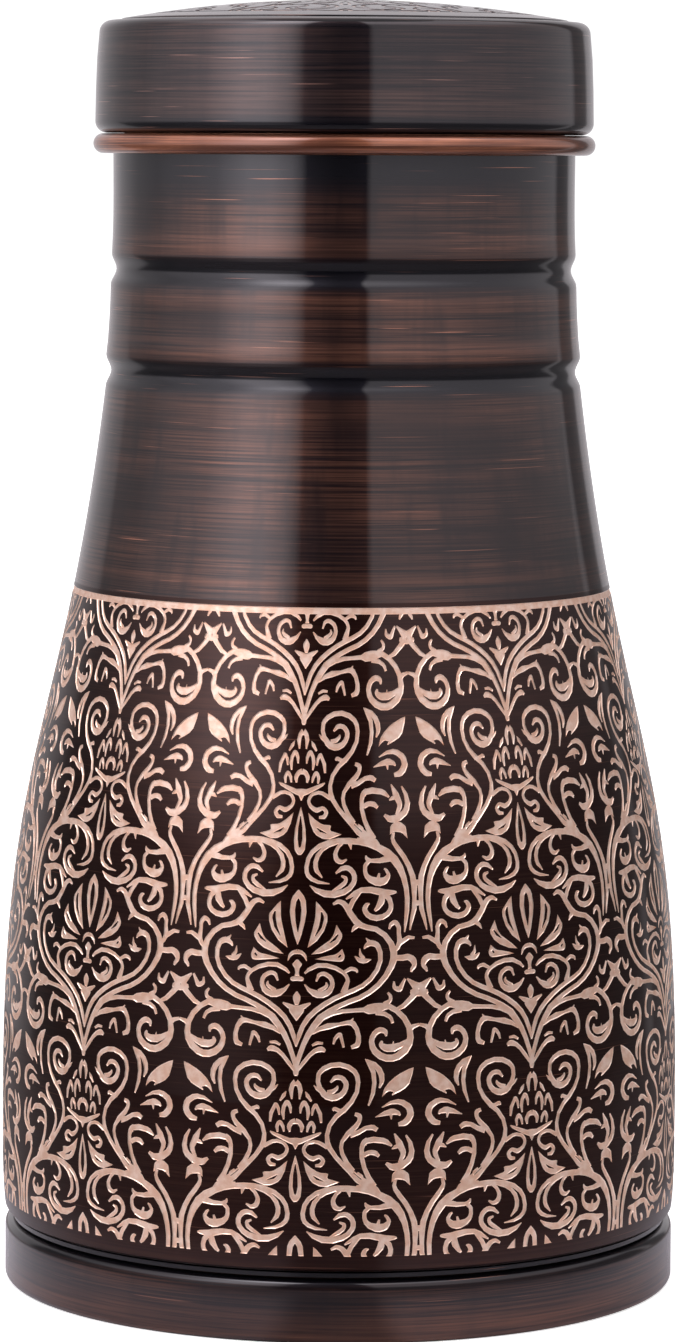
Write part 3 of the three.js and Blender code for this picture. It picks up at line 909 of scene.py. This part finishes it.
# %% [markdown]
# ## Etching the belly
# The strokes are laid on a flat sheet that is half a column wide. A Delaunay
# triangulation takes the outlines of all strokes at once and gives a clean mesh in which
# every triangle is either ornament or ground; no operator does that. From there the
# ordinary tools take over: mirror makes the other half of the column, each point is bent
# round the belly, spin repeats the column nine times, and an inset pushes the ornament
# a tenth of a millimetre into the wall with a sloping edge.

# %% Cutting a flat sheet along the strokes
COLUMNS = 9
TURN = 2 * math.pi / COLUMNS
COLUMN_OFFSET = math.radians(-7)    # the middle column stands a little left of the front
GROUND, FLOOR_OF_LINE, EDGE_OF_LINE, INSIDE = 0, 1, 2, 3     # places in a piece's materials


def all_of(bm):
    return bm.verts[:] + bm.edges[:] + bm.faces[:]


def moved(strips, across=0, up=0, flip=False):
    """Copies of strips, shifted and, if asked, mirrored side to side."""
    sign = -1 if flip else 1
    return [[tuple((sign * x + across, y + up) for x, y in pair) for pair in strip]
            for strip in strips]


def cross(a, b):
    return a[..., 0] * b[..., 1] - a[..., 1] * b[..., 0]


def covered_by(places, strips):
    """Which of the places lie on one of the strips."""
    hit = np.zeros(len(places), dtype=bool)
    for strip in strips:
        flat = np.array(strip).reshape(-1, 2)
        in_box = ((places >= flat.min(0)) & (places <= flat.max(0))).all(axis=1)
        near = np.flatnonzero(in_box & ~hit)
        corners = np.stack([flat[:-2], flat[1:-1], flat[2:]], axis=1)
        sides = [cross(corners[:, b] - corners[:, a], places[near, None] - corners[:, a])
                 for a, b in ((0, 1), (1, 2), (2, 0))]
        inside = (np.minimum.reduce(sides) >= 0) | (np.maximum.reduce(sides) <= 0)
        hit[near] = inside.any(axis=1)
    return hit


def flat_sheet(outline, etched, islands, loose):
    """Triangulates the area inside a convex outline along the strips' edges, in mm.
    Faces get material FLOOR_OF_LINE inside a stroke, unless an island covers them."""
    outline = np.array(outline, dtype=float)
    points = outline.tolist()
    lines = [(k, (k + 1) % len(outline)) for k in range(len(outline))]
    for strip in [*etched, *islands]:
        flat = np.array(strip).reshape(-1, 2)
        if (flat.min(0) > outline.max(0)).any() or (flat.max(0) < outline.min(0)).any():
            continue
        start, last = len(points), len(points) + len(flat) - 1
        points += flat.tolist()
        lines += [(start, start + 1), (last - 1, last)]
        lines += [(k, k + 2) for k in range(start, last - 1)]
    points += loose
    vertices, _, faces, *_ = delaunay_2d_cdt([Vector(p) for p in points], lines, [], 0, 1e-4)
    places = np.array([vertex[:] for vertex in vertices])
    middles = places[np.array(faces)].mean(axis=1)
    in_sheet = np.all([cross(after - corner, middles - corner) > 0 for corner, after in
                       zip(outline, np.roll(outline, -1, axis=0))], axis=0)
    is_line = covered_by(middles, etched) & ~covered_by(middles, islands)
    bm = bmesh.new()
    dots = [bm.verts.new((x, y, 0)) for x, y in places]
    for corner_list, wanted, line in zip(faces, in_sheet, is_line):
        if wanted:
            face = bm.faces.new([dots[k] for k in corner_list])
            face.material_index = FLOOR_OF_LINE if line else GROUND
    bmesh.ops.delete(bm, geom=[v for v in bm.verts if not v.link_faces], context="VERTS")
    mirrored_sheet(bm)
    return bm


def mirrored_sheet(bm):
    """Adds the other half of a flat sheet, and makes all its faces look up."""
    turn_up(bm)
    bmesh.ops.mirror(bm, geom=all_of(bm), matrix=Matrix.Identity(4), merge_dist=1e-5, axis="X")
    turn_up(bm)


def turn_up(bm):
    bm.normal_update()
    bmesh.ops.reverse_faces(bm, faces=[face for face in bm.faces if face.normal.z < 0])


# %% One column as a flat sheet
FIELD_BOTTOM, FIELD_TOP = 13.9, 113.2     # the ornament's lowest and highest point
SHEET_BOTTOM, SHEET_TOP = 12.6, 113.9
BORDER = 1.0                              # width of the etched line that closes the band
PAST = 2                                  # how far plain strips reach past the sheet
LATTICE = 2.4                             # a loose net of points that keeps triangles even


def level_strip(low, high):
    """A plain strip across the whole half column."""
    return [((across, high), (across, low)) for across in (-PAST, HALF_COLUMN + PAST)]


def repeated(strips):
    return [strip for repeat in (-1, 0, 1) for strip in moved(strips, up=repeat * REPEAT)]


etched_all = [level_strip(FIELD_TOP - BORDER, FIELD_TOP), *repeated(etched_strips)]
islands_all = [*repeated(island_strips), level_strip(0, FIELD_BOTTOM),
               level_strip(FIELD_TOP, SHEET_TOP + PAST)]
net = [(min(x, HALF_COLUMN), min(y, SHEET_TOP))
       for y in np.arange(SHEET_BOTTOM, SHEET_TOP + 0.1, LATTICE)
       for x in np.arange(0, HALF_COLUMN + 0.1, HALF_COLUMN / 12)]
band = flat_sheet([(0, SHEET_BOTTOM), (HALF_COLUMN, SHEET_BOTTOM), (HALF_COLUMN, SHEET_TOP),
                   (0, SHEET_TOP)], etched_all, islands_all, net)
print(f"a column: {len(band.faces)} triangles, "
      f"{sum(f.material_index == FLOOR_OF_LINE for f in band.faces)} etched")

# %% Bend it round the belly, and repeat it nine times
for v in band.verts:
    angle = v.co.x / HALF_COLUMN * TURN / 2 + COLUMN_OFFSET
    radius = belly_radius(v.co.y)
    v.co = Vector((radius * math.sin(angle), -radius * math.cos(angle), v.co.y)) * MM
bmesh.ops.spin(band, geom=all_of(band), cent=(0, 0, 0), axis=(0, 0, 1),
               angle=TURN * (COLUMNS - 1), steps=COLUMNS - 1, use_duplicate=True)
bmesh.ops.remove_doubles(band, verts=band.verts, dist=2e-6)
print(f"the belly's skin: {len(band.faces)} triangles, "
      f"{sum(edge.is_boundary for edge in band.edges)} edges at its two rims")

# %% Pushing the ornament into the wall
LINE_DEPTH, EDGE_WIDTH = 0.12, 0.13


def etch(bm, depth, width):
    """Insets all ornament faces as one region and pushes them in."""
    bm.normal_update()
    lines = [face for face in bm.faces if face.material_index == FLOOR_OF_LINE]
    made = bmesh.ops.inset_region(bm, faces=lines, thickness=width * MM, depth=-depth * MM,
                                  use_boundary=False, use_even_offset=False)
    for face in made["faces"]:
        face.material_index = EDGE_OF_LINE
    return len(made["faces"])


print(f"sloping edges: {etch(band, LINE_DEPTH, EDGE_WIDTH)} faces")


# %% [markdown]
# ### Closing the wall
# The etched skin becomes the outside of a closed wall. It is cut in two at mid-height, so
# that no piece grows too heavy. Each half is closed by stepping its lower edge inwards by
# the thickness of the sheet, drawing it up along the inside, and bridging it to its upper
# edge. On the lower half the edge first turns under into the flange that stands on the
# base plate.

# %% Rims, steps and the bridge
LEVEL = 0.02                 # how far, in mm, a rim's points may stand from its height
INSIDE_STEP = 8              # the inside is smooth, so its rings stand this far apart


def rim_edges(bm, height):
    """The open edges at a height in mm."""
    return [edge for edge in bm.edges if edge.is_boundary
            and all(abs(v.co.z / MM - height) < LEVEL for v in edge.verts)]


def step_rim(bm, edges, radius, height):
    """Extrudes an open rim to another radius and height, in mm; gives the new rim."""
    made = bmesh.ops.extrude_edge_only(bm, edges=edges)["geom"]
    for v in (item for item in made if isinstance(item, bmesh.types.BMVert)):
        flat = Vector((v.co.x, v.co.y)).normalized() * radius * MM
        v.co = (flat.x, flat.y, height * MM)
    return [item for item in made if isinstance(item, bmesh.types.BMEdge)]


def step_inside(bm, edges, height):
    """The same, to the wall's inner side."""
    return step_rim(bm, edges, float(belly_radius(height)) - SHEET, float(height))


def half_of(skin, cut, above):
    """A copy of the part of the skin above or below a cut, with a level rim."""
    bm = skin.copy()
    made = bmesh.ops.bisect_plane(bm, geom=all_of(bm), plane_co=(0, 0, cut * MM),
                                  plane_no=(0, 0, 1), clear_inner=above,
                                  clear_outer=not above, dist=1e-8)
    for item in made["geom_cut"]:
        if isinstance(item, bmesh.types.BMVert):
            item.co.z = cut * MM
    return bm


def close_wall(bm, low, high, under_path=()):
    """Closes a ring: under its lower rim, up the inside, and across to its upper rim."""
    rim = rim_edges(bm, low)
    top = rim_edges(bm, high)
    for radius, height in under_path:
        rim = step_rim(bm, rim, radius, height)
    start = under_path[-1][1] if under_path else low
    if not under_path:
        rim = step_inside(bm, rim, low)
    first = math.ceil((start + INSIDE_STEP / 2) / INSIDE_STEP) * INSIDE_STEP
    for height in np.arange(first, high - 3, INSIDE_STEP):
        rim = step_inside(bm, rim, height)
    bmesh.ops.bridge_loops(bm, edges=rim + step_inside(bm, top, high))
    bmesh.ops.triangulate(bm, faces=[face for face in bm.faces if len(face.verts) > 3])


# %% True normals on the outside, so that the lacquer mirrors without facets
FACING = 0.8                 # past this cosine a face counts as looking in or out


def read_all(items, name, kind=float, width=1):
    """One property of all vertices, corners or faces of a mesh, as an array."""
    values = np.empty(len(items) * width, dtype=kind)
    items.foreach_get(name, values)
    return values.reshape(-1, width) if width > 1 else values


def give_true_normals(mesh):
    """Ground, line floors and the inside get the belly's own normals; edges stay flat."""
    corner_points = read_all(mesh.loops, "vertex_index", np.int32)
    places = read_all(mesh.vertices, "co", width=3)[corner_points] / MM
    sizes = read_all(mesh.polygons, "loop_total", np.int32)
    flat = np.repeat(read_all(mesh.polygons, "normal", width=3), sizes, axis=0)
    kinds = np.repeat(read_all(mesh.polygons, "material_index", np.int32), sizes)
    outwards = places[:, :2] / np.hypot(places[:, 0], places[:, 1])[:, None]
    slope = belly_slope(places[:, 2])
    smooth_normals = np.column_stack([outwards, -slope]) / np.hypot(1, slope)[:, None]
    facing = (smooth_normals * flat).sum(axis=1)
    outside = (kinds != EDGE_OF_LINE) & (facing > FACING)
    normals = np.where(outside[:, None], smooth_normals, flat)
    normals = np.where((facing < -FACING)[:, None], -smooth_normals, normals)
    mesh.normals_split_custom_set(normals.tolist())


# %% The two halves of the belly
CUT = 62.0
FLANGE_INNER = 49.0
corner_centre = (BELLY_RADIUS - DRAWN_IN - CORNER, JAR_BOTTOM + CORNER)
under_path = [*arc(corner_centre, CORNER, 0, -90, 5), (FLANGE_INNER, JAR_BOTTOM),
              (FLANGE_INNER, JAR_BOTTOM + SHEET), *arc(corner_centre, CORNER - SHEET, -90, 0, 4)]
lower_half = half_of(band, CUT, above=False)
upper_half = half_of(band, CUT, above=True)
band.free()
close_wall(lower_half, SHEET_BOTTOM, CUT, under_path)
close_wall(upper_half, CUT, SHEET_TOP)
for name, half in (("jar_lower", lower_half), ("jar_middle", upper_half)):
    half.normal_update()
    for face in half.faces:
        if face.material_index == GROUND and face.normal.xy.dot(face.calc_center_median().xy) < 0:
            face.material_index = INSIDE
    piece = finished(name, half, [belly_ground, etched_floor, etched_edge, spun_copper], "jar",
                     sharp=0)
    give_true_normals(piece.data)
    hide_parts("jar_wall")

# %% [markdown]
# ## Neck and rolled rim
# Above the etched band the wall is plain. Two grooves are rolled into it, and the bands
# between them bow out a little. At the top the sheet bends outwards and is rolled down
# round a steel wire, which makes the strong bead that the lid sits on.

# %% The neck
JAR_HEIGHT = 185.9
NECK_RADIUS = 37.2
GROOVE_HALF, GROOVE_DEPTH = 2.6, 0.85
WIRE_RADIUS = 0.65
CURL = WIRE_RADIUS + CLEARANCE          # inside radius of the roll
RIM_RADIUS = NECK_RADIUS + 3.2
curl_centre = (RIM_RADIUS - SHEET - CURL, JAR_HEIGHT - SHEET - CURL)


def groove(below, above, middle, steps=12):
    """A groove rolled into the wall between two radii, with soft shoulders."""
    points = []
    for across in np.linspace(-1, 1, steps + 1):
        wall = (below + above) / 2 + (above - below) / 2 * across
        points.append((wall - GROOVE_DEPTH / 2 * (1 + math.cos(math.pi * across)),
                       middle + across * GROOVE_HALF))
    return points


belly_heights = np.linspace(SHEET_TOP, BELT_HEIGHT, 14, endpoint=False)
band_radius = (WAIST_RADIUS + NECK_RADIUS) / 2
bend_centre = (NECK_RADIUS + CURL, curl_centre[1])
neck_path = [
    *zip(belly_radius(belly_heights), belly_heights),
    *groove(WAIST_RADIUS, WAIST_RADIUS - 0.1, LOWER_GROOVE),
    (38.02, 153.0), (37.80, 156.2), (37.66, 159.2),
    *groove(band_radius - 0.2, NECK_RADIUS + 0.2, UPPER_GROOVE),
    (37.26, 169.5), (37.18, 173.0), (37.16, 176.5), (37.18, 180.0),
    *arc(bend_centre, CURL, 180, 90, 6),
    *arc(curl_centre, CURL, 90, -130, 18)[1:],
]
jar_neck = turned("jar_neck", neck_path, [neck_copper, bead_copper, spun_copper], "jar",
                  thickness=-SHEET)
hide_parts("jar_wall")

# %% Which finish each part of the neck has
BEAD, BARE = 1, 2            # places in the neck's materials
for face in jar_neck.data.polygons:
    x, y, z = face.center / MM
    radius = math.hypot(x, y)
    outward = face.normal.x * x + face.normal.y * y
    if radius > NECK_RADIUS + 0.75 and z > JAR_HEIGHT - 4:
        face.material_index = BEAD
    elif radius < NECK_RADIUS - 0.3 + max(0, WAIST_SLOPE * (150 - z)) and outward < 0:
        face.material_index = BARE
print(f"bead: {sum(face.material_index == BEAD for face in jar_neck.data.polygons)} faces")

# %% The wire in the roll
rim_wire = turned("wire_in_rim", arc(curl_centre, WIRE_RADIUS, 0, 337.5, 15), [drawn_steel],
                  "jar", closed=True, sharp=0)
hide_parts("rim_wire")

# %% [markdown]
# ## Foot ring and base plate
# The foot is a separate band with a rounded shoulder. Its lip turns in at the bottom to
# stand on, and a ledge turns in at the top. The base plate's rim lies on that ledge, and
# its middle is pressed up.

# %% Foot and base
FOOT_RADIUS, FOOT_HEIGHT = 54.6, 10.0
LIP, LEDGE = 4.0, 5.6
LIP_CORNER, SHOULDER = 1.0, 1.6
foot_path = [
    (FOOT_RADIUS - LIP, 0),
    *arc((FOOT_RADIUS - LIP_CORNER, LIP_CORNER), LIP_CORNER, -90, 0, 6),
    (FOOT_RADIUS, 3.0), (FOOT_RADIUS, 6.0),
    *arc((FOOT_RADIUS - SHOULDER, FOOT_HEIGHT - SHOULDER), SHOULDER, 0, 90, 8),
    (FOOT_RADIUS - LEDGE, FOOT_HEIGHT),
]
foot = turned("foot", foot_path, [foot_copper], "jar", thickness=SHEET)
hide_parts("foot_ring")

PLATE_EDGE, PLATE_HEIGHT, PLATE_RISE = 53.4, 10.3, 2.5
DISH, DISH_EDGE = 45.4, 4.0             # radius of its raised middle, and the slope round it
plate_path = [(radius, PLATE_HEIGHT + PLATE_RISE) for radius in (0, 15, 30, DISH)]
for part in np.arange(1, 9) / 8:
    fall = (1 + math.cos(math.pi * part)) / 2
    plate_path.append((DISH + DISH_EDGE * part, PLATE_HEIGHT + PLATE_RISE * fall))
plate_path.append((PLATE_EDGE, PLATE_HEIGHT))
base = turned("base", plate_path, [spun_copper, foot_copper], "jar", thickness=-SHEET)
for face in base.data.polygons:
    if face.center.xy.length > 50 * MM:
        face.material_index = 1
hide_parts("base_plate")

# %% [markdown]
# ## The lid
# The lid's wall tapers a little and has a rounded lower edge and shoulder. A shallow dome
# with the same ornament is set in its top. Underneath, a cup-shaped plug with a silicone
# ring goes into the neck.

# %% Lid wall
LID_BOTTOM, LID_TOP = 185.95, 203.9
LID_RADIUS, LID_SHOULDER, LID_EDGE = 40.1, 39.45, 1.9
LID_OPENING = LID_SHOULDER - 3.25
LID_LEDGE = 2.7                          # the ledge in the opening, which the dome lies on
PLUG_RADIUS, PLUG_BOTTOM, PLUG_CORNER = 35.45, 167.9, 1.6
cap_path = [
    (PLUG_RADIUS + CLEARANCE, LID_BOTTOM),
    *arc((LID_RADIUS - LID_EDGE, LID_BOTTOM + LID_EDGE), LID_EDGE, -90, 0, 10),
    (LID_RADIUS - 0.1, 193.0), (LID_RADIUS - 0.3, 198.0),
    *arc((LID_SHOULDER - LID_EDGE, LID_TOP - LID_EDGE), LID_EDGE, 0, 90, 10),
    (LID_OPENING, LID_TOP), (LID_OPENING, LID_TOP - SHEET),
    (LID_OPENING - LID_LEDGE, LID_TOP - SHEET),
]
cap = turned("cap", cap_path, [lid_copper], "lid", thickness=SHEET)
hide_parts("lid_cap")

# %% The plug and its ring
SEAL_MIDDLE, SEAL_HALF, SEAT = 177.9, 2.5, 1.0
RIB = 0.25                               # half the height of the ring's two ribs
FLANGE_HEIGHT = 187.15
seat_half = SEAL_HALF + CLEARANCE
plug_path = [
    (0, PLUG_BOTTOM), (12, PLUG_BOTTOM), (24, PLUG_BOTTOM),
    *arc((PLUG_RADIUS - PLUG_CORNER, PLUG_BOTTOM + PLUG_CORNER), PLUG_CORNER, -90, 0, 6),
    (PLUG_RADIUS, SEAL_MIDDLE - seat_half - SEAT), (PLUG_RADIUS - SEAT, SEAL_MIDDLE - seat_half),
    (PLUG_RADIUS - SEAT, SEAL_MIDDLE + seat_half), (PLUG_RADIUS, SEAL_MIDDLE + seat_half + SEAT),
    (PLUG_RADIUS, FLANGE_HEIGHT), (LID_RADIUS - LID_EDGE, FLANGE_HEIGHT),
]
plug = turned("plug", plug_path, [spun_copper], "lid", thickness=-SHEET)
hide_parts("lid_plug")

seal_inner = PLUG_RADIUS - SEAT + CLEARANCE
seal_outer = NECK_RADIUS - SHEET - CLEARANCE
seal_outline = [(seal_inner, SEAL_MIDDLE - SEAL_HALF)]
for up in np.linspace(-1, 1, 17):
    hollow = RIB * (1 + math.cos(2 * math.pi * (1 + up)))
    seal_outline.append((seal_outer - hollow, SEAL_MIDDLE + SEAL_HALF * up))
seal_outline.append((seal_inner, SEAL_MIDDLE + SEAL_HALF))
seal = turned("seal", seal_outline, [soft_silicone], "lid", closed=True)
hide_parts("lid_seal")

# %% [markdown]
# ### The domed top
# The dome takes the same strokes as the belly. Here they lie in a plane: several columns
# side by side, trimmed to a circle, and then raised to the cap of a sphere. An etched
# line closes the circle, as it closes the band on the belly, and outside it is plain.

# %% A disc of ornament, raised to a dome
DOME_EDGE = LID_OPENING - CLEARANCE
DOME_BASE = LID_TOP - SHEET + CLEARANCE
DOME_RISE = 3.2
SPHERE = (DOME_EDGE**2 + DOME_RISE**2) / (2 * DOME_RISE)
DISC, DISC_BORDER = 31.0, 0.7          # the etched disc, and the line round it
DISC_MIDDLE = 46.0                     # height on the belly of what stands at its centre
NET = 2.6
DOME_DEPTH, DOME_EDGE_WIDTH = 0.1, 0.08


def dome_height(radius):
    """Height of the dome's outer face at a distance from the axis, in mm."""
    return DOME_BASE + SHEET + DOME_RISE - SPHERE + math.sqrt(SPHERE**2 - radius**2)


def on_disc(strips):
    """The strokes of two half columns, in three repeats, placed round the centre."""
    centred = moved(repeated(strips), up=-DISC_MIDDLE)
    return centred + moved(centred, across=2 * HALF_COLUMN, flip=True)


def step_dome(bm, radius, below=0):
    """Steps the dome's rim to a radius, on the dome or so far below it."""
    rim = [edge for edge in bm.edges if edge.is_boundary]
    step_rim(bm, rim, radius, dome_height(radius) - below)


half_circle = [(0, -DISC), *arc((0, 0), DISC, -87.5, 87.5, 70), (0, DISC)]
net = [(x, y) for x in np.arange(0, DISC, NET) for y in np.arange(1 - DISC, DISC, NET)
       if math.hypot(x, y) < DISC - 0.5]
top = flat_sheet(half_circle, on_disc(etched_strips), on_disc(island_strips), net)
for v in top.verts:
    v.co = Vector((v.co.x, v.co.y, dome_height(math.hypot(v.co.x, v.co.y)))) * MM
for radius in (DISC + DISC_BORDER, 33.5, DOME_EDGE - 0.15):
    step_dome(top, radius)
for face in top.faces:
    radius = face.calc_center_median().xy.length / MM
    if radius > DISC:
        face.material_index = GROUND if radius > DISC + DISC_BORDER else FLOOR_OF_LINE
print(f"dome edges: {etch(top, DOME_DEPTH, DOME_EDGE_WIDTH)} faces")

# %% The dome's rim and underside
step_dome(top, DOME_EDGE, below=0.12)
for radius in (DOME_EDGE, 28, 20, 12, 5):
    step_dome(top, radius, below=SHEET)
bmesh.ops.holes_fill(top, edges=[edge for edge in top.edges if edge.is_boundary], sides=0)
bmesh.ops.triangulate(top, faces=[face for face in top.faces if len(face.verts) > 4])
for face in top.faces:
    if face.normal.z < -0.5:
        face.material_index = INSIDE
dome = finished("dome", top, [lid_copper, dome_floor, lid_copper, spun_copper], "lid", sharp=30)
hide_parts("lid_top")
